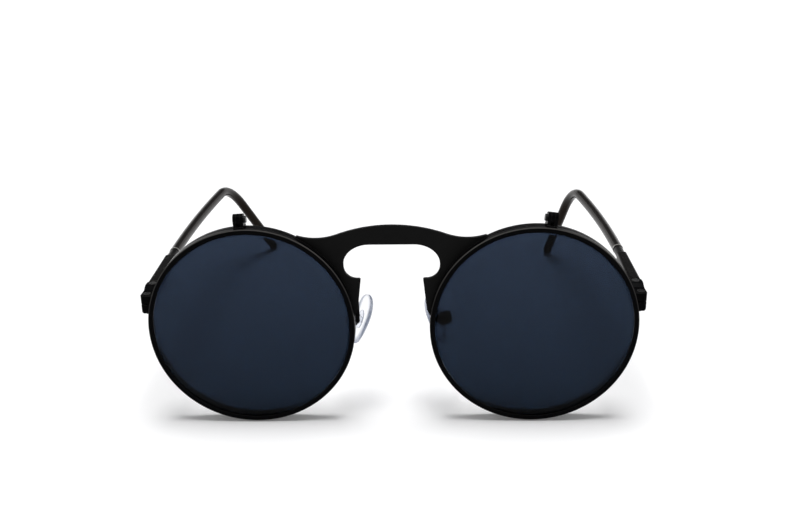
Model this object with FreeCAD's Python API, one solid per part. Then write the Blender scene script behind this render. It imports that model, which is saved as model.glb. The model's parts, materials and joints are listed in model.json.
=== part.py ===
import FreeCAD, Part
import math
import os
from FreeCAD import Placement, Rotation, Vector

# Flip-up sunglasses: two fixed round eyewires on a keyhole bridge plate, two more round eyewires with
# dark lenses hinged in front of them, and two folding temples with plastic ear sleeves.
# Lengths are in millimetres, angles in degrees.
# Each piece is drawn for the wearer's left in the frame of the front: X towards the left, Y backwards
# from the front faces of the fixed eyewires, Z up from the line through the lens centres. The right side
# is its mirror image. All pieces are then leaned back together, until the eyewires and the temple tips
# stand on Z = 0, with the middle of the whole above the origin.

# Lenses and eyewires
lens_opening_radius = 25.0
bridge_size = 22.6
lens_thickness = 1.4
lens_curve_radius = 200.0
lens_fit = 0.05
rim_wall = 1.7
rim_depth = 1.9
rim_chamfer = 0.25
groove_width = 1.0
groove_depth = 0.5
flip_rim_depth = 1.8
flip_gap = 0.3

# Bridge plate
plate_thickness = 1.1
plate_setback = 0.4
ear_angle = 27.2
ear_tip_height = 0.35
ear_length = 4.75
ear_rise = 0.75
bridge_rise = 3.4
bridge_bar_height = 5.0
keyhole_height = 9.2
keyhole_web = 3.55
keyhole_upper_share = 0.5
keyhole_lower_share = 0.37
keyhole_lip = 0.9
leg_corner = 0.35
leg_width_end = 1.0
leg_end_angle = 8.7
leg_tip_angle = 4.8

# Closing block and temple hinge
lug_reach = 2.0
lug_half_height = 2.2
lug_depth = 4.0
lug_corner = 0.8
lug_clearance = 0.3
split_height = 5.9
split_gap = 0.4
knuckle_radius = 1.6
knuckle_height = 1.6
knuckle_gap = 0.05
hinge_height = 4.2
fork_root = 1.15
hinge_rise = 0.9
hinge_rise_run = 1.6
hinge_relief = 0.25

# Screws: shank radius, head radius and head height, then the room around them
screw_radius = 0.6
screw_head_radius = 0.95
screw_head_height = 0.6
screw_slot_width = 0.28
screw_slot_depth = 0.3
screw_fit = 0.02
running_fit = 0.03
rim_screw_share = 0.35
rim_screw_point = 0.7
small_screw_radius = 0.5
small_screw_head_radius = 0.9
small_screw_head_height = 0.55

# Flip hinge
right_flip_lean_angle = 3.3
left_flip_lean_angle = 7.5
flip_clearance = 0.1
flip_knuckle_radius = 1.5
flip_knuckle_width = 0.8
flip_middle_width = 0.9
flip_foot_height = 0.5
flip_screw_end = 0.15

# Temple
temple_splay = 1.6
temple_box_length = 19.0
temple_box_width = 3.2
temple_box_height = 4.2
temple_box_end_width = 2.7
temple_box_end_height = 2.8
temple_box_corner = 0.6
temple_end_gap = 0.3
tongue_width = 1.4
tongue_length = 5.0
tongue_fit = 0.03
wire_rise = 1.3
neck_length = 6.5
neck_radius = 1.3
core_radius = 0.7
core_tip_cover = 7.0
core_fit = 0.05
right_temple_length = 90.6
left_temple_length = 84.1
right_bow_radius = 680.0
left_bow_radius = 500.0
bend_radius = 18.0
bend_angle = 60.0
right_bend_lean_angle = 21.4
left_bend_lean_angle = 9.0
tip_fall = 19.7
sleeve_front_radius = 1.45
sleeve_tip_radius = 1.6

# Nose pads and their arms
pad_wire_radius = 0.6
pad_wire_clearance = 0.1
pad_wire_height = 5.0
pad_wire_reach = 2.3
pad_wire_lead = 2.0
pad_wire_bend = 0.9
pad_box_setback = 9.0
pad_box_drop = 1.8
right_pad_offset = 1.0
left_pad_offset = 4.0
pad_box_height = 3.0
pad_cheek = 0.55
pad_web = 0.5
pad_lug_width = 1.2
pad_lug_radius = 1.0
pad_lug_gap = 0.05
pad_end_room = 0.15
pad_standoff = 0.5
pad_length = 14.0
pad_width = 7.5
pad_thickness = 2.0
pad_corner_share = 0.45
pad_edge_share = 0.42
pad_splay = 19.0
pad_turn = 22.0

# Length by which cuts run past what they cut, and the distance below which two points are one
overrun = 1.0
same_point = 0.0001

# Places that follow from the sizes
lens_x = lens_opening_radius + bridge_size / 2
rim_outer_radius = lens_opening_radius + rim_wall
flip_rim_front = -flip_gap - flip_rim_depth
lug_x = lens_x + rim_outer_radius + lug_reach
lug_top = split_height + split_gap / 2 + lug_half_height
lug_bottom = split_height - split_gap / 2 - lug_half_height
fork_top = lug_top + hinge_rise
fork_front = lug_depth + lug_clearance
hinge_setback = fork_front + fork_root + hinge_relief + knuckle_radius
hinge = Vector(lug_x - knuckle_radius, hinge_setback, fork_top - hinge_height / 2)
temple_swing = Placement(Vector(0, 0, 0), Rotation(Vector(0, 0, 1), -temple_splay), hinge)
flip_axis_depth = -flip_gap / 2
flip_axis_height = rim_outer_radius + flip_foot_height + flip_clearance + flip_knuckle_radius
flip_width = flip_middle_width + 2 * (flip_knuckle_width + knuckle_gap)
wire = hinge + Vector(0, 0, wire_rise)
sleeve_start = knuckle_radius + temple_end_gap + temple_box_length + neck_length
sleeve_front = wire + Vector(0, sleeve_start, 0)
bend_drop = bend_radius * (1 - math.cos(math.radians(bend_angle)))
bend_run = bend_radius * math.sin(math.radians(bend_angle))
left_ear_shape = (left_temple_length, left_bow_radius, left_bend_lean_angle)
right_ear_shape = (right_temple_length, right_bow_radius, right_bend_lean_angle)


def line(start, end):
    return Part.LineSegment(start, end).toShape()


def arc(start, middle, end):
    return Part.Arc(start, middle, end).toShape()


def rounded(corners, closed=True):
    """Edges of straight runs between corners, each a point and the radius of the arc that rounds it."""
    edges = []
    count = len(corners)
    first = None
    last = None
    for index, (point, radius) in enumerate(corners):
        enter = leave = middle = point
        if radius:
            back = (corners[index - 1][0] - point).normalize()
            ahead = (corners[(index + 1) % count][0] - point).normalize()
            half = back.getAngle(ahead) / 2
            reach = radius / math.tan(half)
            enter = point + back * reach
            leave = point + ahead * reach
            middle = point + (back + ahead).normalize() * (radius / math.sin(half) - radius)
        if last is None:
            first = enter
        elif last.distanceToPoint(enter) > same_point:
            edges.append(line(last, enter))
        if radius:
            edges.append(arc(enter, middle, leave))
        last = leave
    if closed:
        edges.append(line(last, first))
    return edges


def face(edges):
    return Part.Face(Part.Wire(edges))


def rod(radius, start, end):
    return Part.makeCylinder(radius, start.distanceToPoint(end), start, end - start)


def block(low, high):
    size = high - low
    return Part.makeBox(size.x, size.y, size.z, low)


def fused(first, *others):
    return first.fuse(list(others)).removeSplitter()


def spun(section):
    """A section, given as pairs of radius and depth, turned about the lens axis."""
    outline = rounded([(Vector(radius, depth, 0), 0) for radius, depth in section])
    ring = face(outline).revolve(Vector(0, 0, 0), Vector(0, 1, 0), 360)
    return ring.translate(Vector(lens_x, 0, 0))


def rim_core(radius):
    """A cylinder on the lens axis that runs through everything near the eyewires."""
    front = Vector(lens_x, flip_rim_front - overrun, 0)
    return rod(radius, front, Vector(lens_x, hinge_setback, 0))


def eyewire(front, depth):
    """A round chamfered band with a V groove inside for the edge of the lens."""
    back = front + depth
    middle = front + depth / 2
    inner = lens_opening_radius
    return spun([
        (rim_outer_radius - rim_chamfer, front),
        (rim_outer_radius, front + rim_chamfer),
        (rim_outer_radius, back - rim_chamfer),
        (rim_outer_radius - rim_chamfer, back),
        (inner, back),
        (inner, middle + groove_width / 2),
        (inner + groove_depth, middle),
        (inner, middle - groove_width / 2),
        (inner, front),
    ])


def lens(front, depth):
    """A bowed lens of even thickness with a bevelled edge that follows the groove of its eyewire."""
    edge = lens_opening_radius - lens_fit
    middle = front + depth / 2
    half = lens_thickness / 2
    sag = lens_curve_radius - math.sqrt(lens_curve_radius ** 2 - edge ** 2)
    crown = middle - half - sag
    blank = spun([
        (0, crown - overrun),
        (edge, crown - overrun),
        (edge, middle - groove_width / 2),
        (edge + groove_depth, middle),
        (edge, middle + groove_width / 2),
        (edge, middle + half + overrun),
        (0, middle + half + overrun),
    ])
    centre = Vector(lens_x, crown + lens_curve_radius, 0)
    outside = Part.makeSphere(lens_curve_radius, centre)
    inside = Part.makeSphere(lens_curve_radius, centre + Vector(0, lens_thickness, 0))
    return blank.common(outside).cut(inside)


def fixed_rim():
    """The fixed eyewire, cut through at the closing block so that the lens can be put in."""
    cut = block(
        Vector(lens_x, -overrun, split_height - split_gap / 2),
        Vector(lug_x, rim_depth + overrun, split_height + split_gap / 2),
    )
    return eyewire(0, rim_depth).cut(cut)


def on_rim(angle, radius):
    """A point at an angle from the nose side of the lens centre, in the plane of the plate's front."""
    turn = math.radians(angle)
    return Vector(lens_x - radius * math.cos(turn), plate_setback, radius * math.sin(turn))


def rim_edge_at(height):
    """X of the nose side of the eyewire at a height."""
    return lens_x - math.sqrt(rim_outer_radius ** 2 - height ** 2)


def plate_half():
    """Edges of the plate's left half, from the middle of its top to the middle of the keyhole's top."""
    def at(x, z):
        return Vector(x, plate_setback, z)

    ear_end = on_rim(90 - ear_angle, rim_outer_radius)
    ear_tip = on_rim(90 - ear_angle, rim_outer_radius + ear_tip_height)
    dip = at(ear_tip.x - ear_length, ear_tip.z - ear_rise)
    top = dip.z + bridge_rise
    ear_curve = (ear_length ** 2 + ear_rise ** 2) / (2 * ear_rise)
    shoulder = (dip.x ** 2 + bridge_rise ** 2) / (2 * bridge_rise) - ear_curve
    shoulder_centre = at(0, top - shoulder)
    ear_centre = at(dip.x, dip.z + ear_curve)
    meeting = shoulder_centre + (ear_centre - shoulder_centre).normalize() * shoulder
    top_middle = (at(0, top) + meeting) / 2 - shoulder_centre
    keyhole_top = top - bridge_bar_height
    keyhole_bottom = keyhole_top - keyhole_height
    keyhole_side = rim_edge_at((keyhole_top + keyhole_bottom) / 2) - keyhole_web
    upper_corner = keyhole_upper_share * keyhole_height
    lower_corner = keyhole_lower_share * keyhole_height
    neck = at(keyhole_side - lower_corner - keyhole_lip, keyhole_bottom)
    leg_end_height = rim_outer_radius * math.sin(math.radians(leg_end_angle))
    leg_end = at(rim_edge_at(leg_end_height) - leg_width_end, leg_end_height)
    leg_tip = on_rim(leg_tip_angle, rim_outer_radius)
    rim_middle = on_rim((90 - ear_angle + leg_tip_angle) / 2, rim_outer_radius)
    outside = [
        arc(at(0, top), shoulder_centre + top_middle.normalize() * shoulder, meeting),
        arc(meeting, dip, ear_tip),
        line(ear_tip, ear_end),
        arc(ear_end, rim_middle, leg_tip),
    ]
    inside = rounded([
        (leg_tip, 0),
        (leg_end, 0),
        (neck, leg_corner),
        (at(keyhole_side, keyhole_bottom), lower_corner),
        (at(keyhole_side, keyhole_top), upper_corner),
        (at(0, keyhole_top), 0),
    ], closed=False)
    return outside + inside


def bridge_plate():
    """The flat plate between the eyewires, with a keyhole for the nose and ears along the eyewires' tops."""
    half = plate_half()
    other = [edge.mirror(Vector(0, 0, 0), Vector(1, 0, 0)) for edge in half]
    outline = Part.Wire(Part.__sortEdges__(half + other))
    return Part.Face(outline).extrude(Vector(0, plate_thickness, 0))


def lug_plan(depth, tail):
    """Corners of the closing block seen from above, with the bar to the hinge after them."""
    inner = lens_x + lens_opening_radius
    front = [(Vector(inner, 0, 0), 0), (Vector(lug_x, 0, 0), lug_corner)]
    return front + tail + [(Vector(inner, depth, 0), 0)]


def rim_screw_at(height):
    return Vector(lug_x - (1 - rim_screw_share) * lug_reach, lug_depth / 2, height)


def end_piece():
    """The upper half of the closing block, and the bar behind it that ends in the temple hinge's fork."""
    bottom = split_height + split_gap / 2
    fork_bottom = fork_top - hinge_height
    fork_end = hinge.y + knuckle_radius
    tail = [
        (Vector(lug_x, fork_end, 0), knuckle_radius),
        (Vector(hinge.x - knuckle_radius, fork_end, 0), knuckle_radius),
        (Vector(hinge.x - knuckle_radius, lug_depth, 0), 0),
    ]
    plan = face(rounded(lug_plan(lug_depth, tail))).translate(Vector(0, 0, fork_bottom))
    side = face(rounded([
        (Vector(lens_x, -overrun, bottom), 0),
        (Vector(lens_x, -overrun, lug_top), 0),
        (Vector(lens_x, lug_depth, lug_top), lug_corner),
        (Vector(lens_x, lug_depth + hinge_rise_run, fork_top), lug_corner),
        (Vector(lens_x, fork_end + overrun, fork_top), 0),
        (Vector(lens_x, fork_end + overrun, fork_bottom), 0),
        (Vector(lens_x, fork_front, fork_bottom), 0),
        (Vector(lens_x, fork_front, bottom), 0),
    ]))
    across = Vector(lug_x - lens_x + overrun, 0, 0)
    whole = plan.extrude(Vector(0, 0, hinge_height)).common(side.extrude(across))
    slot_half = knuckle_height / 2 + knuckle_gap
    slot = block(
        Vector(hinge.x - knuckle_radius - overrun, fork_front + fork_root, hinge.z - slot_half),
        Vector(lug_x + overrun, fork_end + overrun, hinge.z + slot_half),
    )
    cuts = [rim_core(rim_outer_radius), slot]
    for foot, top in ((rim_screw_at(bottom), lug_top), (Vector(hinge.x, hinge.y, fork_bottom), fork_top)):
        seat = Vector(foot.x, foot.y, top - screw_head_height)
        above = Vector(foot.x, foot.y, top + overrun)
        cuts.append(rod(screw_radius + screw_fit, foot - Vector(0, 0, overrun), seat))
        cuts.append(rod(screw_head_radius + screw_fit, seat, above))
    return whole.cut(cuts)


def closing_block():
    """The lower half of the closing block, drawn up to the upper half by the rim screw."""
    height = Vector(0, 0, lug_half_height)
    plan = face(rounded(lug_plan(lug_depth, [(Vector(lug_x, lug_depth, 0), lug_corner)])))
    whole = plan.translate(Vector(0, 0, lug_bottom)).extrude(height)
    side = face(rounded([
        (Vector(lens_x, -overrun, lug_bottom), 0),
        (Vector(lug_x, -overrun, lug_bottom), lug_corner),
        (Vector(lug_x, -overrun, lug_bottom + lug_half_height), 0),
        (Vector(lens_x, -overrun, lug_bottom + lug_half_height), 0),
    ])).extrude(Vector(0, lug_depth + 2 * overrun, 0))
    hole = rod(screw_radius + screw_fit, rim_screw_at(lug_bottom - overrun), rim_screw_at(split_height))
    return whole.common(side).cut([rim_core(rim_outer_radius), hole])


def screw(radius, head_radius, head_height, seat, point):
    """A slotted screw: a shank from the seat to its point, and a head on the other side of the seat."""
    along = (point - seat).normalize()
    top = seat - along * head_height
    head = rod(head_radius, top, seat)
    slot = Part.makeBox(2 * head_radius + overrun, screw_slot_width, screw_slot_depth + overrun)
    slot.translate(Vector(-head_radius - overrun / 2, -screw_slot_width / 2, -overrun))
    slot.Placement = Placement(top, Rotation(Vector(0, 0, 1), along)).multiply(slot.Placement)
    return fused(head, rod(radius, seat, point)).cut(slot)


def rim_screw():
    seat = rim_screw_at(lug_top - screw_head_height)
    point = rim_screw_at(lug_bottom - rim_screw_point)
    return screw(screw_radius, screw_head_radius, screw_head_height, seat, point)


def temple_screw():
    half = Vector(0, 0, hinge_height / 2)
    seat = hinge + half - Vector(0, 0, screw_head_height)
    return screw(screw_radius, screw_head_radius, screw_head_height, seat, hinge - half)


def flip_place(lean):
    """The frame of a flip hinge: lens centre as origin, turned so that Z points at the hinge."""
    return Placement(Vector(lens_x, 0, 0), Rotation(Vector(0, 1, 0), lean))


def flip_leaf(foot_front, foot_back, root, knuckles, lean):
    """A hinge leaf on top of an eyewire: a foot, and for each knuckle a leg that leads up into it."""
    low = rim_outer_radius - rim_wall
    axis = Vector(0, flip_axis_depth, flip_axis_height)
    leaf = block(
        Vector(-flip_width / 2, foot_front, low),
        Vector(flip_width / 2, foot_back, rim_outer_radius + flip_foot_height),
    )
    through = Vector(flip_width, 0, 0)
    bore = rod(small_screw_radius + running_fit, axis - through, axis + through)
    parts = []
    for start, width in knuckles:
        leg = [
            (Vector(start, foot_front, low), 0),
            (Vector(start, foot_back, low), 0),
            (Vector(start, max(root, flip_axis_depth), flip_axis_height), 0),
            (Vector(start, min(root, flip_axis_depth), flip_axis_height), 0),
        ]
        across = Vector(width, 0, 0)
        parts.append(face(rounded(leg)).extrude(across))
        centre = Vector(start, axis.y, axis.z)
        parts.append(rod(flip_knuckle_radius, centre, centre + across))
    leaf = fused(leaf, *parts).cut(bore)
    leaf.Placement = flip_place(lean)
    return leaf.cut(rim_core(rim_outer_radius))


def flip_base(lean):
    """The fixed leaf: one middle knuckle on the back eyewire."""
    knuckles = [(-flip_middle_width / 2, flip_middle_width)]
    root = flip_axis_depth + flip_knuckle_radius
    return flip_leaf(rim_chamfer, rim_depth - rim_chamfer, root, knuckles, lean)


def flip_fork(lean):
    """The swinging leaf: an outer knuckle on each side, on the front eyewire."""
    knuckles = [
        (-flip_width / 2, flip_knuckle_width),
        (flip_width / 2 - flip_knuckle_width, flip_knuckle_width),
    ]
    root = flip_axis_depth - flip_knuckle_radius
    return flip_leaf(flip_rim_front + rim_chamfer, -flip_gap - rim_chamfer, root, knuckles, lean)


def flip_screw(lean):
    """The hinge screw of the dark lens, with its head on the nose side."""
    axis = Vector(0, flip_axis_depth, flip_axis_height)
    seat = axis - Vector(flip_width / 2, 0, 0)
    point = axis + Vector(flip_width / 2 + flip_screw_end, 0, 0)
    pin = screw(small_screw_radius, small_screw_head_radius, small_screw_head_height, seat, point)
    pin.Placement = flip_place(lean).multiply(pin.Placement)
    return pin


def bow(length, radius):
    """The turn that carries the front of the sleeve along its inward bow to where the ear bend starts."""
    turn = Rotation(Vector(0, 0, 1), math.degrees((length - sleeve_start) / radius))
    return Placement(Vector(0, 0, 0), turn, sleeve_front - Vector(radius, 0, 0))


def ear_down(lean):
    """The direction that the ear bend turns to, down and inwards."""
    turn = math.radians(lean)
    return Vector(-math.sin(turn), 0, -math.cos(turn))


def tip_length(lean):
    """Length of the straight tip: leaned in or not, it ends as far down as one that falls straight."""
    drop = (bend_drop + tip_fall) / math.cos(math.radians(lean))
    return (drop - bend_drop) / math.sin(math.radians(bend_angle))


def tip_axis(lean):
    """Where the straight tip starts and the direction it runs in, for a bend at the front of the sleeve."""
    down = ear_down(lean)
    turn = math.radians(bend_angle)
    start = sleeve_front + Vector(0, bend_run, 0) + down * bend_drop
    return start, Vector(0, math.cos(turn), 0) + down * math.sin(turn)


def ring_at_front(radius):
    return Part.Wire(Part.makeCircle(radius, sleeve_front, Vector(0, 1, 0)))


def ear_bend(radius, lean):
    """The stretch of round temple that turns down behind the ear."""
    down = ear_down(lean)
    disc = Part.Face(ring_at_front(radius))
    return disc.revolve(sleeve_front + down * bend_radius, Vector(0, 1, 0).cross(down), bend_angle)


def wire_run(radius, end_room, length, bow_radius, lean):
    """A round wire from the front of the sleeve along the bow, round the bend and into the tip."""
    carry = bow(length, bow_radius)
    bow_angle = math.degrees(carry.Rotation.Angle)
    bow_centre = sleeve_front - Vector(bow_radius, 0, 0)
    bowed = Part.Face(ring_at_front(radius)).revolve(bow_centre, Vector(0, 0, 1), bow_angle)
    start, way = tip_axis(lean)
    end = start + way * (tip_length(lean) - core_tip_cover + end_room)
    behind_ear = fused(ear_bend(radius, lean), rod(radius, start, end))
    return fused(bowed, behind_ear.transformed(carry.toMatrix()))


def rounded_frame(middle, width, height):
    """The box's outline across the temple, around its middle point."""
    corners = [(-1, -1), (1, -1), (1, 1), (-1, 1)]
    points = [middle + Vector(side * width / 2, 0, up * height / 2) for side, up in corners]
    return Part.Wire(rounded([(point, temple_box_corner) for point in points]))


def tongue(room, length):
    """The flat tongue behind the temple's knuckle, with room around it for its pocket in the box."""
    half = Vector(tongue_width / 2 + room, 0, knuckle_height / 2 + room)
    return block(hinge - half, hinge + half + Vector(0, length, 0))


def temple(length, bow_radius, lean):
    """The metal front of the temple: a tapered box, a round neck, and the core wire inside the sleeve."""
    front = knuckle_radius + temple_end_gap
    back = front + temple_box_length
    box = Part.makeLoft([
        rounded_frame(hinge + Vector(0, front, 0), temple_box_width, temple_box_height),
        rounded_frame(wire + Vector(0, back, 0), temple_box_end_width, temple_box_end_height),
    ], True, True)
    neck = rod(neck_radius, wire + Vector(0, back, 0), sleeve_front)
    core = wire_run(core_radius, 0, length, bow_radius, lean)
    pocket = tongue(tongue_fit, front + tongue_length + tongue_fit)
    return fused(box, neck, core).cut(pocket)


def temple_knuckle():
    """The middle knuckle of the temple hinge, with its tongue set into the box."""
    half = Vector(0, 0, knuckle_height / 2)
    bore = rod(screw_radius + running_fit, hinge - half * 2, hinge + half * 2)
    return fused(rod(knuckle_radius, hinge - half, hinge + half),
                 tongue(0, knuckle_radius + temple_end_gap + tongue_length)).cut(bore)


def temple_sleeve(length, bow_radius, lean):
    """The plastic sleeve: it thickens along the bow towards the ear bend, and its tip is round."""
    carry = bow(length, bow_radius)
    front = ring_at_front(sleeve_front_radius)
    back = ring_at_front(sleeve_tip_radius).transformed(carry.toMatrix())
    half_way = bow((sleeve_start + length) / 2, bow_radius)
    route = Part.Wire(arc(sleeve_front, half_way.multVec(sleeve_front), carry.multVec(sleeve_front)))
    bowed = route.makePipeShell([front, back], True, False)
    start, way = tip_axis(lean)
    end = start + way * tip_length(lean)
    behind_ear = fused(
        ear_bend(sleeve_tip_radius, lean),
        rod(sleeve_tip_radius, start, end),
        Part.makeSphere(sleeve_tip_radius, end),
    )
    outside = fused(bowed, behind_ear.transformed(carry.toMatrix()))
    return outside.cut(wire_run(core_radius + core_fit, core_fit, length, bow_radius, lean))


def pad_place(offset):
    """The frame of a pad box: origin on the pad's screw, X away from the nose, Y along the screw."""
    centre = Vector(lens_x - rim_outer_radius + offset, pad_box_setback, -pad_box_drop)
    turn = Rotation(Vector(0, 0, 1), -pad_turn).multiply(Rotation(Vector(0, 1, 0), -pad_splay))
    return Placement(centre, turn)


def pad_box_half_width():
    return pad_lug_width / 2 + pad_lug_gap + pad_cheek


def pad_arm(offset):
    """A bent wire from the back of the plate's leg to a small forked box that takes the pad's lug."""
    place = pad_place(offset)
    wide = pad_box_half_width()
    web = pad_lug_radius + pad_end_room
    box = block(
        Vector(-pad_lug_radius, -wide, -pad_box_height / 2),
        Vector(web + pad_web, wide, pad_box_height / 2),
    )
    slot_half = pad_lug_width / 2 + pad_lug_gap
    slot = block(
        Vector(-pad_lug_radius - overrun, -slot_half, -pad_box_height),
        Vector(web, slot_half, pad_box_height),
    )
    hole_end = Vector(0, -wide + pad_cheek / 2, 0)
    hole = rod(small_screw_radius + screw_fit, hole_end, Vector(0, wide + overrun, 0))
    box = box.cut([slot, hole])
    box.Placement = place
    gauge = rim_outer_radius + pad_wire_clearance + pad_wire_radius
    wire_x = lens_x - math.sqrt(gauge ** 2 - pad_wire_height ** 2)
    start = Vector(wire_x, plate_setback + plate_thickness, pad_wire_height)
    end = place.multVec(Vector(0, -wide, 0))
    path = Part.Wire(rounded([
        (start, 0),
        (start + Vector(0, pad_wire_reach, 0), pad_wire_bend),
        (place.multVec(Vector(0, -wide - pad_wire_lead, 0)), pad_wire_bend),
        (end, 0),
    ], closed=False))
    disc = Part.Wire(Part.makeCircle(pad_wire_radius, start, Vector(0, 1, 0)))
    return fused(path.makePipeShell([disc], True, False), box)


def pad_screw(offset):
    wide = pad_box_half_width()
    seat = Vector(0, wide, 0)
    point = Vector(0, -wide + pad_cheek / 2 + screw_fit, 0)
    pin = screw(small_screw_radius, small_screw_head_radius, small_screw_head_height, seat, point)
    pin.Placement = pad_place(offset).multiply(pin.Placement)
    return pin


def nose_pad(offset):
    """A soft oval pad with a lug on its back that rocks on the screw of its box."""
    back = -pad_lug_radius - pad_standoff
    corners = [(-1, -1), (1, -1), (1, 1), (-1, 1)]
    front = back - pad_thickness
    points = [Vector(front, side * pad_width / 2, up * pad_length / 2) for side, up in corners]
    corner = pad_corner_share * pad_width
    outline = face(rounded([(point, corner) for point in points]))
    pillow = outline.extrude(Vector(pad_thickness, 0, 0))
    edge_radius = pad_edge_share * pad_thickness
    rounding = [edge for edge in pillow.Edges if edge.BoundBox.XLength < edge_radius]
    pillow = pillow.makeFillet(edge_radius, rounding)
    half = Vector(0, pad_lug_width / 2, 0)
    lug = block(
        Vector(back - pad_thickness / 2, -pad_lug_width / 2, -pad_lug_radius),
        Vector(0, pad_lug_width / 2, pad_lug_radius),
    )
    bore = rod(small_screw_radius + running_fit, -half * 2, half * 2)
    pad = fused(pillow, lug, rod(pad_lug_radius, -half, half)).cut(bore)
    pad.Placement = pad_place(offset)
    return pad


def side_pieces(flip_lean, ear_shape, pad_offset):
    """Every piece of one side, drawn for the left."""
    pieces = {
        "rim": fixed_rim(),
        "clear_lens": lens(0, rim_depth),
        "end_piece": end_piece(),
        "closing_block": closing_block(),
        "rim_screw": rim_screw(),
        "temple_screw": temple_screw(),
        "pad_arm": pad_arm(pad_offset),
        "pad_screw": pad_screw(pad_offset),
        "nose_pad": nose_pad(pad_offset),
        "flip_base": flip_base(flip_lean),
        "flip_fork": flip_fork(flip_lean),
        "flip_screw": flip_screw(flip_lean),
        "flip_rim": eyewire(flip_rim_front, flip_rim_depth),
        "dark_lens": lens(flip_rim_front, flip_rim_depth),
    }
    swung = {
        "temple": temple(*ear_shape),
        "temple_knuckle": temple_knuckle(),
        "temple_sleeve": temple_sleeve(*ear_shape),
    }
    for name, shape in swung.items():
        pieces[name] = shape.transformed(temple_swing.toMatrix())
    return pieces


def tip_end(length, bow_radius, lean):
    """Centre of the round end of a tip, with the temple open."""
    start, way = tip_axis(lean)
    end = bow(length, bow_radius).multVec(start + way * tip_length(lean))
    return temple_swing.multVec(end)


def standing_lean():
    """The angle that brings the eyewires' back edges and the temple tips down to one level."""
    tip = (tip_end(*left_ear_shape) + tip_end(*right_ear_shape)) / 2
    run = tip.y - rim_depth + rim_chamfer
    rise = tip.z - sleeve_tip_radius + rim_outer_radius
    return math.degrees(math.atan2(rise, run))


def standing(pieces):
    """The placement that leans the pieces back and puts the middle of their box above the origin."""
    lean = Placement(Vector(0, 0, 0), Rotation(Vector(1, 0, 0), -standing_lean()))
    whole = FreeCAD.BoundBox()
    for shape in pieces.values():
        whole.add(shape.transformed(lean.toMatrix()).optimalBoundingBox(False, False))
    shift = Vector(0, -whole.Center.y, -whole.ZMin)
    return Placement(shift, lean.Rotation)


def all_pieces():
    """Every piece of the pair, in the frame of the front."""
    pieces = {"bridge_plate": bridge_plate()}
    left = side_pieces(left_flip_lean_angle, left_ear_shape, left_pad_offset)
    right = side_pieces(right_flip_lean_angle, right_ear_shape, right_pad_offset)
    for name, shape in left.items():
        pieces["left_" + name] = shape
    for name, shape in right.items():
        pieces["right_" + name] = shape.mirror(Vector(0, 0, 0), Vector(1, 0, 0))
    return pieces


def main():
    os.makedirs("parts", exist_ok=True)
    pieces = all_pieces()
    place = standing(pieces)
    for name, shape in pieces.items():
        placed = shape.transformed(place.toMatrix())
        placed.exportStep(os.path.join("parts", name + ".step"))
        print(name, len(placed.Solids), "solid of", round(placed.Volume, 3), "mm3, valid", placed.isValid())
    print("lean", round(standing_lean(), 3), "shift", place.Base)


main()
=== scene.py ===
# %% [markdown]
# Flip-up sunglasses, dressed for a studio picture.
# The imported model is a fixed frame: every metal piece, lens and screw already stands where it belongs.
# This script gives each piece its finish. It also models the pieces whose real shape is finer, softer or
# thinner than the frame's: the eyewires, the corners of the keyhole, the nose pads and the ferrules.

# %% Load the frame
import json
import math

import bmesh
import bpy
from mathutils import Matrix, Vector


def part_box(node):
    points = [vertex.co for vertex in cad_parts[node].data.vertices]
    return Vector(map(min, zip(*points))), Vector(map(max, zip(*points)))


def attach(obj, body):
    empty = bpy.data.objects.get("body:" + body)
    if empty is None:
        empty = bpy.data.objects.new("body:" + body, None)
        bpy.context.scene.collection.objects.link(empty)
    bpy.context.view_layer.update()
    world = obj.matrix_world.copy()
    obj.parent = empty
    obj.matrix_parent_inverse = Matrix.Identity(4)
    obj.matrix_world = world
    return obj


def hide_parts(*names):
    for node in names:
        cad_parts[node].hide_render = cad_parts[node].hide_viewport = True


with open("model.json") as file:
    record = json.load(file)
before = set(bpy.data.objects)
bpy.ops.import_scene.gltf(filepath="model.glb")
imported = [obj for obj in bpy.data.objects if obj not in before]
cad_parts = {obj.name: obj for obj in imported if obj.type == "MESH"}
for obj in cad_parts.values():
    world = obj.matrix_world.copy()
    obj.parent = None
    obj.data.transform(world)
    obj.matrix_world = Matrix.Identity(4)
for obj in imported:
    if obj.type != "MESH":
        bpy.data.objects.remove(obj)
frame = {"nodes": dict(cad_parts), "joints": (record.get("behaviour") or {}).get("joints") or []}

MM = 0.001
nodes = frame["nodes"]
joints = {joint["name"]: joint for joint in frame["joints"]}
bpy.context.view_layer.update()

# %% [markdown]
# Colours are written as a designer writes them, in sRGB hex, and Blender's shaders want linear light.
# One function turns the first into the second, and one more adds a shader node with its settings and links,
# so that a material below reads as a short list of what it is made of.

# %% Colour and node helpers
def linear(hex_code):
    """The linear RGBA of an sRGB colour such as 1a1a1c."""
    channels = [int(hex_code[place:place + 2], 16) / 255 for place in (0, 2, 4)]
    return [c / 12.92 if c <= 0.04045 else ((c + 0.055) / 1.055) ** 2.4 for c in channels] + [1.0]


def add_node(tree, kind, inputs, **settings):
    """Adds a shader node. An input that is another node's output is linked, and any other is a value."""
    node = tree.nodes.new(kind)
    for name, value in settings.items():
        setattr(node, name, value)
    for name, value in inputs.items():
        if isinstance(value, bpy.types.NodeSocket):
            tree.links.new(value, node.inputs[name])
        else:
            node.inputs[name].default_value = value
    return node


def new_material(name):
    """An empty material with its node tree, and the Object coordinates that its patterns read."""
    material = bpy.data.materials.new(name)
    material.use_nodes = True
    tree = material.node_tree
    tree.nodes.clear()
    place = add_node(tree, "ShaderNodeTexCoord", {}).outputs["Object"]
    return material, tree, place


def finish_surface(tree, shader):
    """Joins a shader to the material's output."""
    add_node(tree, "ShaderNodeOutputMaterial", {"Surface": shader.outputs[0]})


print("the grey 808080 is", round(linear("808080")[0], 3), "in linear light")

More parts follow.
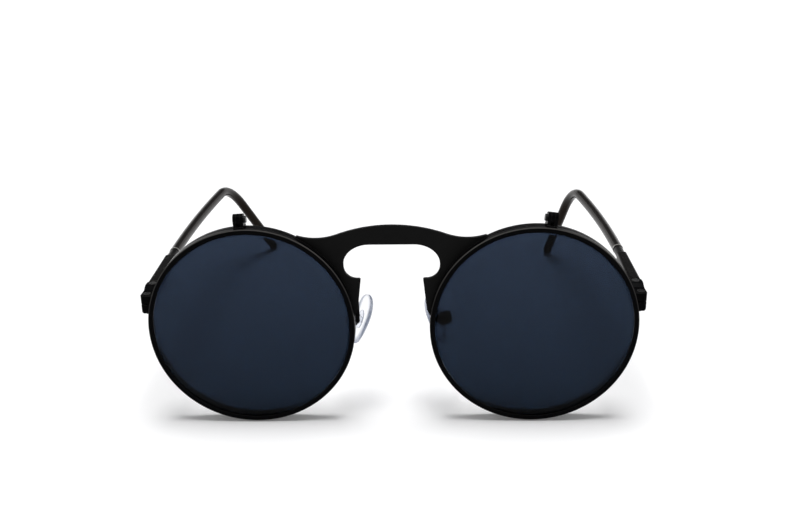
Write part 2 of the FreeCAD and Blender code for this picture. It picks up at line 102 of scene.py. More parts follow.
# %% [markdown]
# The eyewires, hinge leaves and blocks are stamped and turned metal, sprayed with black lacquer and baked.
# The spray leaves a faint orange peel, and handling leaves patches that are a little glossier.
# Upper edges get a painted highlight: a lighter colour along them stands for the light that they catch from
# above, so they show as light lines. A Bevel node finds the edges, which keeps the CAD meshes as they are,
# and the direction that the rounded edge faces on the piece itself says how far it looks up, and so how much
# of the painted highlight it gets.

# %% Black lacquer on metal
PEEL_MM = 0.35
PEEL_HEIGHT_MM = 0.02
SMUDGE_MM = 5.0
SMUDGE_GLOSSIER = 0.05
SMUDGE_DULLER = 0.07
EDGE_MM = 0.14
EDGE_COSINES = (0.99, 0.85)
# How far a rounded edge must look up for the full painted highlight, and how much of it a level edge gets.
HIGHLIGHT_FULL_UP = 0.6
HIGHLIGHT_LEAST = 0.1


def black_lacquer(name, colour, highlight, rough, gloss, peel, face_highlight=0.0):
    """Lacquered metal with a painted highlight: the highlight colour shows along upper edges, or on all that
    looks up where face_highlight is 1.
    """
    material, tree, place = new_material(name)
    smudge = add_node(tree, "ShaderNodeTexNoise", {
        "Vector": place, "Scale": 1 / (SMUDGE_MM * MM), "Detail": 3.0})
    patchy = add_node(tree, "ShaderNodeMapRange", {
        "Value": smudge.outputs["Fac"], "From Min": 0.3, "From Max": 0.7,
        "To Min": rough - SMUDGE_GLOSSIER, "To Max": rough + SMUDGE_DULLER})
    grain = add_node(tree, "ShaderNodeTexNoise", {
        "Vector": place, "Scale": 1 / (PEEL_MM * MM), "Detail": 2.0})
    rounded = add_node(tree, "ShaderNodeBevel", {"Radius": EDGE_MM * MM}, samples=4)
    facing = add_node(tree, "ShaderNodeNewGeometry", {}).outputs["Normal"]
    flat = add_node(tree, "ShaderNodeVectorMath", {
        0: rounded.outputs["Normal"], 1: facing}, operation="DOT_PRODUCT")
    edge = add_node(tree, "ShaderNodeMapRange", {
        "Value": flat.outputs["Value"], "From Min": EDGE_COSINES[0], "From Max": EDGE_COSINES[1],
        "To Min": face_highlight, "To Max": 1.0})
    on_piece = add_node(tree, "ShaderNodeVectorTransform", {"Vector": rounded.outputs["Normal"]},
                        vector_type="NORMAL", convert_from="WORLD", convert_to="OBJECT")
    looks_up = add_node(tree, "ShaderNodeSeparateXYZ", {"Vector": on_piece.outputs["Vector"]})
    lit_from_above = add_node(tree, "ShaderNodeMapRange", {
        "Value": looks_up.outputs["Z"], "From Min": 0.0, "From Max": HIGHLIGHT_FULL_UP,
        "To Min": HIGHLIGHT_LEAST, "To Max": 1.0})
    # The painted highlight: the highlight colour on edges that look up, standing for light caught from
    # above.
    painted_highlight = add_node(tree, "ShaderNodeMath", {
        0: edge.outputs["Result"], 1: lit_from_above.outputs["Result"]}, operation="MULTIPLY")
    tint = add_node(tree, "ShaderNodeMix", {
        0: painted_highlight.outputs[0], 6: linear(colour), 7: linear(highlight)}, data_type="RGBA")
    bump = add_node(tree, "ShaderNodeBump", {
        "Height": grain.outputs["Fac"], "Normal": rounded.outputs["Normal"],
        "Strength": peel, "Distance": PEEL_HEIGHT_MM * MM})
    shader = add_node(tree, "ShaderNodeBsdfPrincipled", {
        "Base Color": tint.outputs[2], "Roughness": patchy.outputs["Result"],
        "Normal": bump.outputs["Normal"], "Specular IOR Level": gloss})
    finish_surface(tree, shader)
    return material


rim_lacquer = black_lacquer(
    "satin_black_lacquer", "060607", "383736", rough=0.20, gloss=0.015, peel=0.15)
# The front chamfers of the flip eyewires take this lacquer, painted with the highlight over all of them that
# looks up.
rim_highlight = black_lacquer(
    "black_lacquer_painted_highlight", "060607", "403f3e", rough=0.20, gloss=0.015, peel=0.15, face_highlight=1.0)
plate_lacquer = black_lacquer(
    "matt_black_lacquer", "0e0e0e", "282828", rough=0.55, gloss=0.06, peel=0.35)
temple_lacquer = black_lacquer(
    "brushed_black_lacquer", "080707", "565350", rough=0.24, gloss=0.04, peel=0.20)
screw_finish = black_lacquer(
    "blackened_steel", "101012", "6e6c6a", rough=0.30, gloss=0.15, peel=0.15)
for finish in (rim_lacquer, rim_highlight, plate_lacquer, temple_lacquer, screw_finish):
    print("metal finish:", finish.name)

# %% [markdown]
# The sleeves over the temple wires are injection-moulded black plastic, polished, with a warm tone in the
# gloss. Faint scratches run along them from being pushed behind ears and folded into cases, so the noise
# that makes them is stretched along the temple.

# %% Black moulded plastic
SCRATCH_MM = 0.5
SCRATCH_HEIGHT_MM = 0.02
SCRATCH_STRETCH = 16.0


def moulded_plastic(name, colour, light):
    """Polished plastic whose scratches are a little lighter and rougher than the rest."""
    material, tree, place = new_material(name)
    stretched = add_node(tree, "ShaderNodeMapping", {
        "Vector": place, "Scale": (1.0, 1 / SCRATCH_STRETCH, 1.0)})
    scratches = add_node(tree, "ShaderNodeTexNoise", {
        "Vector": stretched.outputs["Vector"], "Scale": 1 / (SCRATCH_MM * MM), "Detail": 4.0})
    rough = add_node(tree, "ShaderNodeMapRange", {
        "Value": scratches.outputs["Fac"], "From Min": 0.35, "From Max": 0.75,
        "To Min": 0.10, "To Max": 0.20})
    tint = add_node(tree, "ShaderNodeMix", {
        0: scratches.outputs["Fac"], 6: linear(colour), 7: linear(light)}, data_type="RGBA")
    bump = add_node(tree, "ShaderNodeBump", {
        "Height": scratches.outputs["Fac"], "Strength": 0.08, "Distance": SCRATCH_HEIGHT_MM * MM})
    shader = add_node(tree, "ShaderNodeBsdfPrincipled", {
        "Base Color": tint.outputs[2], "Roughness": rough.outputs["Result"],
        "Normal": bump.outputs["Normal"], "Specular IOR Level": 0.08, "Specular Tint": linear("ffdfc2")})
    finish_surface(tree, shader)
    return material


sleeve_plastic = moulded_plastic("black_moulded_plastic", "0b0a0a", "15110f")
print("sleeve finish:", sleeve_plastic.name)

# %% [markdown]
# The outer lenses are cast plastic, dyed blue-grey, with an anti-reflection coat. A dyed lens is tinted all
# through, so its transmission carries the colour. Towards the bottom it is painted a little darker, as
# painted shade for the shadowed table seen through the lower part of the lens.
# The coat is drawn as a low IOR, which takes the white of the room off the polished faces.
# The inner lenses are the same plastic with no more than a trace of the tint.

# %% Dyed and clear lenses
COATED_IOR = 1.14
FINGER_MM = 9.0


def lens_plastic(name, top, bottom):
    """Clear cast plastic whose colour runs from one at the bottom of the lens to another at its top; the
    darker bottom is painted shade.
    """
    material, tree, place = new_material(name)
    height = add_node(tree, "ShaderNodeSeparateXYZ", {"Vector": place})
    low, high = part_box("left_dark_lens")
    rise = add_node(tree, "ShaderNodeMapRange", {
        "Value": height.outputs["Z"], "From Min": low.z, "From Max": high.z})
    dye_and_shade = add_node(tree, "ShaderNodeMix", {
        0: rise.outputs["Result"], 6: linear(bottom), 7: linear(top)}, data_type="RGBA")
    touched = add_node(tree, "ShaderNodeTexNoise", {
        "Vector": place, "Scale": 1 / (FINGER_MM * MM), "Detail": 3.0})
    rough = add_node(tree, "ShaderNodeMapRange", {
        "Value": touched.outputs["Fac"], "From Min": 0.4, "From Max": 0.8, "To Min": 0.0, "To Max": 0.006})
    shader = add_node(tree, "ShaderNodeBsdfPrincipled", {
        "Base Color": dye_and_shade.outputs[2], "Roughness": rough.outputs["Result"], "IOR": COATED_IOR,
        "Transmission Weight": 1.0})
    finish_surface(tree, shader)
    return material


# The blue-grey is the dye; the darker bottom colour is painted shade.
dark_lens = lens_plastic("dyed_lens_plastic", "263040", "101b28")
clear_lens = lens_plastic("clear_lens_plastic", "fbfcfd", "f8fafc")
print("lens finishes:", dark_lens.name, clear_lens.name)

# %% [markdown]
# Nose pads are soft clear silicone, moulded over a small plate of harder plastic that holds the screw lug.
# Silicone is a little cloudy. Its side wall is painted a darker blue-grey, as painted shade for the look
# that light running along a pad gives its edge, so the meshes of the pad and of its plate carry an attribute
# called edge, which is 1 on the side wall and 0 on the broad faces.

# %% Clear silicone and the plastic inside it
CLOUD_MM = 2.0


def clear_polymer(name, colour, edge_shade, ior):
    """A cloudy clear plastic or rubber that takes its second colour, a painted shade, from the mesh's edge
    attribute.
    """
    material, tree, place = new_material(name)
    cloud = add_node(tree, "ShaderNodeTexNoise", {
        "Vector": place, "Scale": 1 / (CLOUD_MM * MM), "Detail": 2.0})
    rough = add_node(tree, "ShaderNodeMapRange", {
        "Value": cloud.outputs["Fac"], "From Min": 0.3, "From Max": 0.7, "To Min": 0.04, "To Max": 0.12})
    edge = add_node(tree, "ShaderNodeAttribute", {}, attribute_name="edge")
    # The edge colour is painted shade on the side wall.
    tint = add_node(tree, "ShaderNodeMix", {
        0: edge.outputs["Fac"], 6: linear(colour), 7: linear(edge_shade)}, data_type="RGBA")
    shader = add_node(tree, "ShaderNodeBsdfPrincipled", {
        "Base Color": tint.outputs[2], "Roughness": rough.outputs["Result"], "IOR": ior,
        "Transmission Weight": 1.0})
    finish_surface(tree, shader)
    return material


pad_silicone = clear_polymer("clear_silicone", "fafbfd", "717889", ior=1.08)
core_plastic = clear_polymer("clear_hard_plastic", "eef0f4", "b8bdc8", ior=1.12)
print("pad finishes:", pad_silicone.name, core_plastic.name)

# %% [markdown]
# The mouth of each sleeve is closed by a narrow bare steel ferrule, polished on a wheel.
# A metal keeps its default IOR, and fine turning marks vary its roughness.

# %% Bare polished steel
TURNING_MM = 0.1


def polished_steel(name, colour):
    """Bare steel whose turning marks are a little rougher than the polish."""
    material, tree, place = new_material(name)
    marks = add_node(tree, "ShaderNodeTexNoise", {
        "Vector": place, "Scale": 1 / (TURNING_MM * MM), "Detail": 1.0})
    rough = add_node(tree, "ShaderNodeMapRange", {
        "Value": marks.outputs["Fac"], "From Min": 0.3, "From Max": 0.7, "To Min": 0.2, "To Max": 0.35})
    shader = add_node(tree, "ShaderNodeBsdfPrincipled", {
        "Base Color": linear(colour), "Metallic": 1.0, "Roughness": rough.outputs["Result"]})
    finish_surface(tree, shader)
    return material


ferrule_steel = polished_steel("polished_steel", "b9b7b3")
print("ferrule finish:", ferrule_steel.name)

# %% [markdown]
# A CAD node keeps its mesh and only gets its finish. The two sides share their finishes, so the side is
# taken off the name before the finish is looked up. A node that the list leaves out gets the lacquer of the
# eyewires.

# %% Dress the nodes
FINISHES = {
    "bridge_plate": plate_lacquer, "dark_lens": dark_lens, "clear_lens": clear_lens,
    "temple": temple_lacquer, "temple_knuckle": temple_lacquer, "temple_sleeve": sleeve_plastic,
    "rim_screw": screw_finish, "temple_screw": screw_finish,
    "flip_screw": screw_finish, "pad_screw": screw_finish,
}
for name, node in nodes.items():
    kind = name.removeprefix("left_").removeprefix("right_")
    node.data.materials.clear()
    node.data.materials.append(FINISHES.get(kind, rim_lacquer))
print("dressed", len(nodes), "nodes")

# %% [markdown]
# New pieces are modelled in edit mode, as by hand. These helpers do what a hand does between the operators:
# they select faces, edges or vertices by place or normal, apply a modifier at once, and put a copy in its
# place.

# %% Modelling helpers
def select(piece, mode, wanted):
    """In edit mode, selects only the vertices, edges or faces for which wanted gives true."""
    bpy.ops.mesh.select_mode(type=mode)
    bpy.ops.mesh.select_all(action="DESELECT")
    shape = bmesh.from_edit_mesh(piece.data)
    items = {"VERT": shape.verts, "EDGE": shape.edges, "FACE": shape.faces}[mode]
    for item in items:
        if wanted(item):
            item.select_set(True)
    shape.select_flush_mode()
    bmesh.update_edit_mesh(piece.data)


def apply_modifier(piece, kind, **settings):
    """Adds a modifier with its settings and turns its result into the piece's mesh."""
    bpy.context.view_layer.objects.active = piece
    modifier = piece.modifiers.new(kind.lower(), kind)
    for name, value in settings.items():
        setattr(modifier, name, value)
    bpy.ops.object.modifier_apply(modifier=modifier.name)


def settle(piece, name):
    """Gives a new primitive its name and puts its place and turn into its mesh."""
    piece.name = name
    piece.data.name = name
    bpy.ops.object.transform_apply(location=True, rotation=True, scale=True)
    return piece


def place_copy(model, name, matrix):
    """A copy of a finished model, with its own mesh, moved by the matrix."""
    mesh = model.data.copy()
    mesh.transform(matrix)
    if matrix.determinant() < 0:
        mesh.flip_normals()
    mesh.name = name
    copy = bpy.data.objects.new(name, mesh)
    bpy.context.scene.collection.objects.link(copy)
    return copy


for helper in (select, apply_modifier, settle, place_copy):
    print("helper:", helper.__name__)

# %% [markdown]
# Everything on the front is square to the lenses, and the front leans back a little where it stands.
# The left temple hinge points straight up the front, so its axis gives the lean.

# %% The frame of the front
across = Vector((1.0, 0.0, 0.0))
front_up = Vector(joints["left_temple_hinge"]["axis"])
front_axes = Matrix((across, front_up.cross(across), front_up)).transposed().to_4x4()
front_home = front_axes.inverted()


def box_in(home, name):
    """The lowest and highest corners of a CAD node in another frame."""
    corners = [home @ vertex.co for vertex in nodes[name].data.vertices]
    low = Vector([min(corner[axis] for corner in corners) for axis in range(3)])
    high = Vector([max(corner[axis] for corner in corners) for axis in range(3)])
    return low, high


print("the front leans back by", round(math.degrees(front_up.angle(Vector((0, 0, 1)))), 2), "degrees")

# %% [markdown]
# An eyewire is a narrow band rolled from wire, with a groove inside that holds the bevelled edge of its
# lens. From in front only a slim lip shows. A tube gets its wall from Solidify and its outer chamfer from
# Bevel, a bisect adds a ring of points in the middle of the wall, and drawing the inner ones outwards makes
# the groove. On the front pair the front chamfer gets a painted highlight where it looks up, standing for
# the light it catches, and the pair behind stays black.

# %% Eyewires
RIM_LIP = 1.35 * MM
RIM_CHAMFER = 0.25 * MM
GROOVE_DEPTH = 0.15 * MM
RIM_STEPS = 256
SMOOTH_BELOW = math.radians(30)
CHAMFER_FACING = (-0.9, -0.5)


def eyewire(node_name, name, chamfer_finish):
    """A band in the place of a CAD eyewire, as large across and as deep as that one, with a finer lip."""
    low, high = box_in(front_home, node_name)
    middle = (low + high) / 2
    outer = (high.z - low.z) / 2
    bpy.ops.object.select_all(action="DESELECT")
    bpy.ops.mesh.primitive_cylinder_add(
        vertices=RIM_STEPS, radius=outer, depth=high.y - low.y, end_fill_type="NOTHING",
        rotation=(math.radians(90), 0, 0))
    band = settle(bpy.context.object, name)
    apply_modifier(band, "SOLIDIFY", thickness=RIM_LIP, offset=-1.0)
    bpy.ops.object.mode_set(mode="EDIT")
    select(band, "EDGE", lambda edge: all(
        math.hypot(end.co.x, end.co.z) > outer - RIM_LIP / 2 for end in edge.verts)
        and abs(edge.verts[0].co.y - edge.verts[1].co.y) < RIM_CHAMFER)
    bpy.ops.mesh.bevel(offset=RIM_CHAMFER * math.sqrt(2), segments=1, offset_type="WIDTH")
    bpy.ops.mesh.select_all(action="SELECT")
    bpy.ops.mesh.bisect(plane_co=(0, 0, 0), plane_no=(0, 1, 0))
    select(band, "VERT", lambda end: abs(end.co.y) < RIM_CHAMFER / 2
           and math.hypot(end.co.x, end.co.z) < outer - RIM_LIP / 2)
    wider = (outer - RIM_LIP + GROOVE_DEPTH) / (outer - RIM_LIP)
    bpy.ops.transform.resize(value=(wider, 1, wider), center_override=(0, 0, 0))
    bpy.ops.object.mode_set(mode="OBJECT")
    bpy.ops.object.shade_smooth_by_angle(angle=SMOOTH_BELOW)
    band.data.transform(front_axes @ Matrix.Translation(middle))
    for finish in (rim_lacquer, chamfer_finish):
        band.data.materials.append(finish)
    # Faces of the front chamfer take the chamfer finish, which on the flip eyewires carries the painted
    # highlight.
    for face in band.data.polygons:
        facing = (front_home @ face.normal).y
        face.material_index = int(CHAMFER_FACING[0] < facing < CHAMFER_FACING[1])
    return band


for side in ("left", "right"):
    band = eyewire(side + "_flip_rim", side + "_flip_eyewire", rim_highlight)
    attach(band, side + "_flip")
    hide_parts(side + "_flip_rim")
    print(band.name, "has", len(band.data.polygons), "faces")

# %% [markdown]
# The fixed eyewires are cut through at the closing block, where the rim screw draws them together round the
# lens. The two flat ends of the CAD eyewire look up and down, so they are found by their normals.
# A thin slab between them is taken off with a Boolean.

# %% Cut in the fixed eyewires
SAW_REACH = 8 * MM
END_FACING = 0.99

for side in ("left", "right"):
    band = eyewire(side + "_rim", side + "_fixed_eyewire", rim_lacquer)
    low, high = box_in(front_home, side + "_rim")
    edge_x = high.x if side == "left" else low.x
    ends = []
    for face in nodes[side + "_rim"].data.polygons:
        place = front_home @ face.center
        facing = abs((front_home @ face.normal).z)
        if facing > END_FACING and abs(place.x - edge_x) < 2 * RIM_LIP:
            ends.append(place.z)
    cut_low, cut_high = min(ends), max(ends)
    bpy.ops.object.select_all(action="DESELECT")
    bpy.ops.mesh.primitive_cube_add(size=1)
    saw = settle(bpy.context.object, "saw")
    saw.data.transform(Matrix.Diagonal((SAW_REACH, SAW_REACH, cut_high - cut_low, 1)))
    cut_middle = Vector((edge_x, (low.y + high.y) / 2, (cut_low + cut_high) / 2))
    saw.data.transform(front_axes @ Matrix.Translation(cut_middle))
    apply_modifier(band, "BOOLEAN", operation="DIFFERENCE", object=saw, solver="EXACT")
    bpy.data.objects.remove(saw)
    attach(band, "front")
    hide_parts(side + "_rim")
    print(band.name, "is cut over", round((cut_high - cut_low) / MM, 2), "mm")

# %% [markdown]
# The bridge plate is stamped from sheet, and the upper corners of its keyhole are wide and low, like a
# quarter of an ellipse, while the CAD plate has round ones. On a copy of the plate, the points of each
# round corner are stretched away from the place where the keyhole's top and side would meet, so both edges
# stay where they are.

# %% Corners of the keyhole
CORNER_WIDE = 6.6 * MM
CORNER_HIGH = 5.2 * MM
SEAM = 0.002 * MM
SQUARE = 0.9999

plate = place_copy(nodes["bridge_plate"], "keyhole_plate", front_home)
bpy.ops.object.select_all(action="DESELECT")
plate.select_set(True)
bpy.context.view_layer.objects.active = plate
bpy.ops.object.mode_set(mode="EDIT")
bpy.ops.mesh.select_all(action="SELECT")
bpy.ops.mesh.remove_doubles(threshold=SEAM)
bpy.ops.object.mode_set(mode="OBJECT")

flat_top = [face for face in plate.data.polygons if face.normal.z < -SQUARE]
keyhole_top = flat_top[0].center.z
flat_end = max(plate.data.vertices[index].co.x for face in flat_top for index in face.vertices)
keyhole_side = max(face.center.x for face in plate.data.polygons if face.normal.x < -SQUARE)
corner_radius = keyhole_side - flat_end
bpy.ops.object.mode_set(mode="EDIT")
for out in (1, -1):
    select(plate, "VERT", lambda end: flat_end - SEAM < out * end.co.x < keyhole_side + SEAM
           and keyhole_top - corner_radius - SEAM < end.co.z < keyhole_top + SEAM)
    bpy.ops.transform.resize(
        value=(CORNER_WIDE / corner_radius, 1, CORNER_HIGH / corner_radius),
        center_override=(out * keyhole_side, 0, keyhole_top))
bpy.ops.object.mode_set(mode="OBJECT")
bpy.ops.object.shade_smooth_by_angle(angle=SMOOTH_BELOW)
plate.data.transform(front_axes)
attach(plate, "front")
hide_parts("bridge_plate")
print("the keyhole is", round(2 * keyhole_side / MM, 2), "mm wide")
print("the radius of its CAD corners is", round(corner_radius / MM, 2), "mm")

# %% [markdown]
# A pad is modelled in the frame of its own box: the screw runs along Y, and X points away from the nose.
# The pad's joint gives the origin. The front gives the directions, which two angles turn and splay, and
# those of the right pad are the left ones mirrored across the middle.

# %% The frame of each pad
PAD_TURN_DEG = 22.0
PAD_SPLAY_DEG = 19.0

pad_splay = Matrix.Rotation(math.radians(-PAD_SPLAY_DEG), 4, "Y")
pad_turn = Matrix.Rotation(math.radians(-PAD_TURN_DEG), 4, "Z") @ pad_splay
mirror = Matrix.Scale(-1.0, 4, across)


def pad_frame(side):
    """The matrix that moves a pad from its own frame into its place."""
    pivot = Matrix.Translation(joints[side + "_pad_rock"]["pos_m"])
    if side == "left":
        return pivot @ front_axes @ pad_turn
    return pivot @ front_axes @ mirror @ pad_turn


pad_low, pad_high = box_in(pad_frame("left").inverted(), "left_nose_pad")
print("the left pad in its own frame, mm:", [round(v / MM, 2) for v in (*pad_low, *pad_high)])

# %% [markdown]
# The plate inside a pad is a small oval with a lug on its back, and the lug takes the screw of the pad box.
# A flattened cylinder makes the oval. A block with a round end is joined to it by a Boolean,
# and a second Boolean bores the hole, which is how the pieces would be machined.

# %% Plate and lug inside the pad
CORE_WIDTH = 3.2 * MM
CORE_LENGTH = 5.2 * MM
CORE_THICK = 0.6 * MM
CORE_SETBACK = 1.75 * MM
LUG_WIDTH = 1.2 * MM
LUG_RADIUS = 1.0 * MM
LUG_BORE = 0.55 * MM
ROUND_STEPS = 48
ROUND_SMOOTH = math.radians(35)


def mark_edge(piece):
    """Writes the attribute called edge: 1 where the surface looks sideways and 0 on the broad faces."""
    edge = piece.data.attributes.new("edge", "FLOAT", "POINT")
    for vertex in piece.data.vertices:
        edge.data[vertex.index].value = 1 - abs(vertex.normal.x)


bpy.ops.object.select_all(action="DESELECT")
bpy.ops.mesh.primitive_cylinder_add(
    vertices=ROUND_STEPS, radius=LUG_BORE, depth=LUG_WIDTH * 2, rotation=(math.radians(90), 0, 0))
lug_drill = settle(bpy.context.object, "lug_drill")

bpy.ops.object.select_all(action="DESELECT")
bpy.ops.mesh.primitive_cylinder_add(
    vertices=ROUND_STEPS, radius=LUG_RADIUS, depth=LUG_WIDTH, rotation=(math.radians(90), 0, 0))
lug = settle(bpy.context.object, "lug")
bpy.ops.object.mode_set(mode="EDIT")
select(lug, "VERT", lambda vertex: vertex.co.x < -LUG_RADIUS / 2)
bpy.ops.transform.translate(value=(-CORE_SETBACK, 0, 0))
bpy.ops.object.mode_set(mode="OBJECT")

bpy.ops.object.select_all(action="DESELECT")
bpy.ops.mesh.primitive_cylinder_add(
    vertices=ROUND_STEPS, radius=CORE_WIDTH / 2, depth=CORE_THICK,
    location=(-CORE_SETBACK - CORE_THICK / 2, 0, 0), rotation=(0, math.radians(90), 0))
pad_core = settle(bpy.context.object, "pad_core")
bpy.ops.object.mode_set(mode="EDIT")
bpy.ops.mesh.select_all(action="SELECT")
bpy.ops.transform.resize(value=(1, 1, CORE_LENGTH / CORE_WIDTH), center_override=(0, 0, 0))
select(pad_core, "EDGE", lambda edge: abs(edge.verts[0].co.x - edge.verts[1].co.x) < CORE_THICK / 2)
bpy.ops.mesh.bevel(offset=CORE_THICK / 4, segments=2)
bpy.ops.object.mode_set(mode="OBJECT")
apply_modifier(pad_core, "BOOLEAN", operation="UNION", object=lug, solver="EXACT")
apply_modifier(pad_core, "BOOLEAN", operation="DIFFERENCE", object=lug_drill, solver="EXACT")
bpy.ops.object.shade_smooth_by_angle(angle=ROUND_SMOOTH)
for tool in (lug, lug_drill):
    bpy.data.objects.remove(tool)
mark_edge(pad_core)
pad_core.data.materials.append(core_plastic)
print("pad core:", len(pad_core.data.polygons), "faces")

# %% [markdown]
# The silicone is an egg-shaped cushion: widest a third of the way down and narrow at its lower end.
# It starts as a round disc, because bevels and insets come out clean on a round rim. The face against the
# nose is inset and raised to a soft crown, the disc is stretched to an oval, and a taper draws in its lower
# end.

# %% Silicone pad
PAD_LENGTH = pad_high.z - pad_low.z
PAD_WIDTH = pad_high.y - pad_low.y
PAD_THICK = 2.0 * MM
PAD_CROWN = 0.25 * MM
PAD_ROUND = 0.6 * MM
CROWN_STEPS = 3
CROWN_INSET = PAD_WIDTH / 10
EGG_SHARE = 0.42
EGG_SAMPLES = 100
PAD_STEPS = 64

pad_front = pad_low.x + PAD_CROWN
pad_back = pad_low.x + PAD_THICK
bpy.ops.object.select_all(action="DESELECT")
bpy.ops.mesh.primitive_cylinder_add(
    vertices=PAD_STEPS, radius=PAD_WIDTH / 2, depth=pad_back - pad_front,
    location=((pad_front + pad_back) / 2, 0, 0), rotation=(0, math.radians(90), 0))
pad = settle(bpy.context.object, "nose_pad")
bpy.ops.object.mode_set(mode="EDIT")
select(pad, "EDGE", lambda edge: abs(edge.verts[0].co.x - edge.verts[1].co.x) < PAD_CROWN)
bpy.ops.mesh.bevel(offset=PAD_ROUND, segments=4)
for _ in range(CROWN_STEPS):
    select(pad, "FACE", lambda face: len(face.verts) == PAD_STEPS)
    bpy.ops.mesh.inset(thickness=CROWN_INSET)
    select(pad, "FACE", lambda face: len(face.verts) == PAD_STEPS and face.normal.x < 0)
    bpy.ops.transform.translate(value=(-PAD_CROWN / CROWN_STEPS, 0, 0))
heights = [step / EGG_SAMPLES for step in range(EGG_SAMPLES)]
widest_share = max((1 + EGG_SHARE * height) * math.sqrt(1 - height ** 2) for height in heights)
bpy.ops.mesh.select_all(action="SELECT")
bpy.ops.transform.resize(value=(1, 1 / widest_share, PAD_LENGTH / PAD_WIDTH), center_override=(0, 0, 0))
bpy.ops.object.mode_set(mode="OBJECT")
apply_modifier(
    pad, "SIMPLE_DEFORM", deform_method="TAPER", deform_axis="Z", lock_x=True, factor=2 * EGG_SHARE)
apply_modifier(pad, "SUBSURF", levels=1, render_levels=1)
bpy.ops.object.shade_smooth()
mark_edge(pad)
pad.data.materials.append(pad_silicone)
print("silicone pad:", len(pad.data.polygons), "faces, mm", [round(v / MM, 2) for v in pad.dimensions])

# %% [markdown]
# Each side gets its own copy of the pad and of its core, moved from the pad's frame into place.
# The right copy is mirrored, which turns its faces inside out, so they are turned back.

# %% Place the pads
for side in ("left", "right"):
    cushion = place_copy(pad, side + "_silicone_pad", pad_frame(side))
    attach(cushion, side + "_pad")
    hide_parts(side + "_nose_pad")
    core = place_copy(pad_core, side + "_pad_core", pad_frame(side))
    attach(core, side + "_pad")
    low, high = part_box(side + "_nose_pad")
    print(side, "pad box in mm", [round(v / MM, 1) for v in (*low, *high)])
for model in (pad, pad_core):
    bpy.data.objects.remove(model)

# %% [markdown]
# The ferrule is a short tube round the neck of the temple, right against the sleeve.
# The sleeve's own mesh says where its mouth is: its front ring of points has a middle, and the middle of
# the points a little further back gives the direction. A tube with a wall and rounded rims is modelled once.

# %% Sleeve ferrules
FERRULE_LENGTH = 0.5 * MM
FERRULE_OUTER = 1.5 * MM
FERRULE_WALL = 0.17 * MM
MOUTH_DEPTH = 0.3 * MM
MOUTH_REACH = 8 * MM

bpy.ops.object.select_all(action="DESELECT")
bpy.ops.mesh.primitive_cylinder_add(
    vertices=ROUND_STEPS, radius=FERRULE_OUTER, depth=FERRULE_LENGTH, end_fill_type="NOTHING")
ferrule = settle(bpy.context.object, "ferrule")
apply_modifier(ferrule, "SOLIDIFY", thickness=FERRULE_WALL, offset=-1.0)
apply_modifier(ferrule, "BEVEL", width=FERRULE_WALL / 4, segments=2, limit_method="ANGLE")
bpy.ops.object.shade_smooth_by_angle(angle=ROUND_SMOOTH)
ferrule.data.materials.append(ferrule_steel)


def sleeve_mouth(side):
    """The middle of the sleeve's front end, and the direction in which the sleeve runs from there."""
    points = [vertex.co for vertex in nodes[side + "_temple_sleeve"].data.vertices]
    front = min(point.y for point in points)
    mouth = [point for point in points if point.y < front + MOUTH_DEPTH]
    behind = [point for point in points if front + MOUTH_DEPTH < point.y < front + MOUTH_REACH]
    middle = sum(mouth, Vector()) / len(mouth)
    direction = sum(behind, Vector()) / len(behind) - middle
    return middle, direction.normalized()


for side in ("left", "right"):
    middle, along = sleeve_mouth(side)
    turn = along.to_track_quat("Z", "Y").to_matrix().to_4x4()
    seat = Matrix.Translation(middle - along * FERRULE_LENGTH / 2) @ turn
    ring = place_copy(ferrule, side + "_sleeve_ferrule", seat)
    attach(ring, side + "_temple")
    print(side, "sleeve starts at mm", [round(v / MM, 2) for v in middle])
    print(side, "sleeve runs along", [round(v, 3) for v in along])
bpy.data.objects.remove(ferrule)

# %% [markdown]
# The picture is taken from in front and above, about 25 cm from the lenses, with the glasses standing on a
# white table. The camera is written as its place and three turns: left, down and over.

# %% Camera
IMAGE_WIDTH_PX = 790
FOCAL_PX = 955.0
SENSOR_MM = 36.0
NEAR_M = 0.01
CAMERA_MM = Vector((7.095, -284.152, 134.160))
CAMERA_TURNS = {"Z": 1.582, "X": -21.598, "Y": 0.976}

camera_data = bpy.data.cameras.new("camera")
camera_data.sensor_width = SENSOR_MM
camera_data.lens = FOCAL_PX * SENSOR_MM / IMAGE_WIDTH_PX
camera_data.clip_start = NEAR_M
camera = bpy.data.objects.new("camera", camera_data)
bpy.context.scene.collection.objects.link(camera)
turned = Matrix.Identity(4)
for axis, angle in CAMERA_TURNS.items():
    turned = turned @ Matrix.Rotation(math.radians(angle), 4, axis)
level = Matrix.Rotation(math.radians(90), 4, "X")
camera.matrix_world = Matrix.Translation(CAMERA_MM * MM) @ turned @ level
bpy.context.scene.camera = camera
print("camera lens", round(camera_data.lens, 2), "mm")

# %% [markdown]
# The table is a white floor. To the camera, in reflections and through the lenses it is lifted to plain
# white, but it lights the glasses only by what falls on it, and it keeps their shadow.

# %% Floor
FLOOR_M = 6.0
FLOOR_GLOW = 0.1

bpy.ops.object.select_all(action="DESELECT")
bpy.ops.mesh.primitive_plane_add(size=FLOOR_M)
floor = bpy.context.object
floor.name = "floor"

floor_paint, tree, _ = new_material("white_table")
path = add_node(tree, "ShaderNodeLightPath", {})
seen = path.outputs["Is Camera Ray"]
for ray in ("Is Glossy Ray", "Is Transmission Ray"):
    seen = add_node(tree, "ShaderNodeMath", {0: seen, 1: path.outputs[ray]}, operation="MAXIMUM").outputs[0]
glow = add_node(tree, "ShaderNodeMath", {0: seen, 1: FLOOR_GLOW}, operation="MULTIPLY")
shader = add_node(tree, "ShaderNodeBsdfPrincipled", {
    "Base Color": linear("f0f0f1"), "Roughness": 0.9, "Specular IOR Level": 0.0,
    "Emission Color": linear("ffffff"), "Emission Strength": glow.outputs[0]})
finish_surface(tree, shader)
floor.data.materials.append(floor_paint)
print("floor of", FLOOR_M, "m")

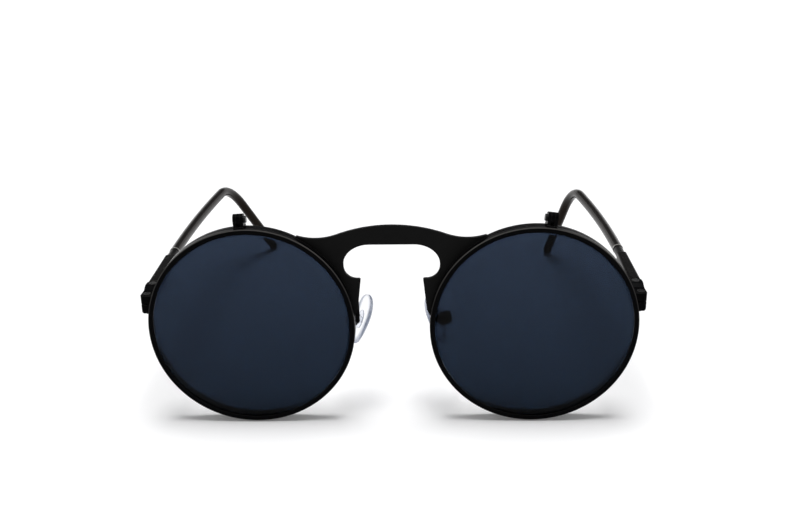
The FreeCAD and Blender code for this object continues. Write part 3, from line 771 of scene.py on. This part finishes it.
# %% [markdown]
# The world is a dim tent. A low white screen stands round the table, which makes the background white from
# every side, and the tent is dark above it, so that the black tops of the glasses have nothing bright to
# reflect. Heights in it are sines of the angle above the horizon.
# Most of the light comes from a wide panel overhead, a little to the back. A sun lamp with a wide angle
# makes it, so that the shadows stay dark where the glasses stand, soften quickly, and the table is evenly
# lit.

# %% Light
SCREEN_LIGHT = 1.0
SCREEN_TOP = (0.19, 0.24)
DIM_LIGHT = 0.14
TENT_LIGHT = 0.3
TENT_EDGE = (0.5, 0.87)
PANEL_WIDTH_DEG = 30.0
PANEL_LEAN_DEG = -2.0
PANEL_LIGHT = 2.85

world = bpy.data.worlds.new("studio")
world.use_nodes = True
tree = world.node_tree
tree.nodes.clear()
direction = add_node(tree, "ShaderNodeTexCoord", {}).outputs["Generated"]
height = add_node(tree, "ShaderNodeSeparateXYZ", {"Vector": direction})
screen = add_node(tree, "ShaderNodeMapRange", {
    "Value": height.outputs["Z"], "From Min": SCREEN_TOP[0], "From Max": SCREEN_TOP[1],
    "To Min": SCREEN_LIGHT, "To Max": DIM_LIGHT})
tent = add_node(tree, "ShaderNodeMapRange", {
    "Value": height.outputs["Z"], "From Min": TENT_EDGE[0], "From Max": TENT_EDGE[1],
    "To Min": DIM_LIGHT, "To Max": TENT_LIGHT}, interpolation_type="SMOOTHSTEP")
strength = add_node(tree, "ShaderNodeMath", {
    0: screen.outputs["Result"], 1: tent.outputs["Result"]}, operation="MAXIMUM")
sky = add_node(tree, "ShaderNodeBackground", {"Color": linear("ffffff"), "Strength": strength.outputs[0]})
add_node(tree, "ShaderNodeOutputWorld", {"Surface": sky.outputs[0]})
bpy.context.scene.world = world

lamp_data = bpy.data.lights.new("overhead_panel", "SUN")
lamp_data.angle = math.radians(PANEL_WIDTH_DEG)
lamp_data.energy = PANEL_LIGHT
lamp = bpy.data.objects.new("overhead_panel", lamp_data)
bpy.context.scene.collection.objects.link(lamp)
lamp.rotation_euler = (math.radians(PANEL_LEAN_DEG), 0, 0)

bpy.context.scene.view_settings.view_transform = "Standard"
print("light from the tent", TENT_LIGHT, "and from the panel", PANEL_LIGHT)
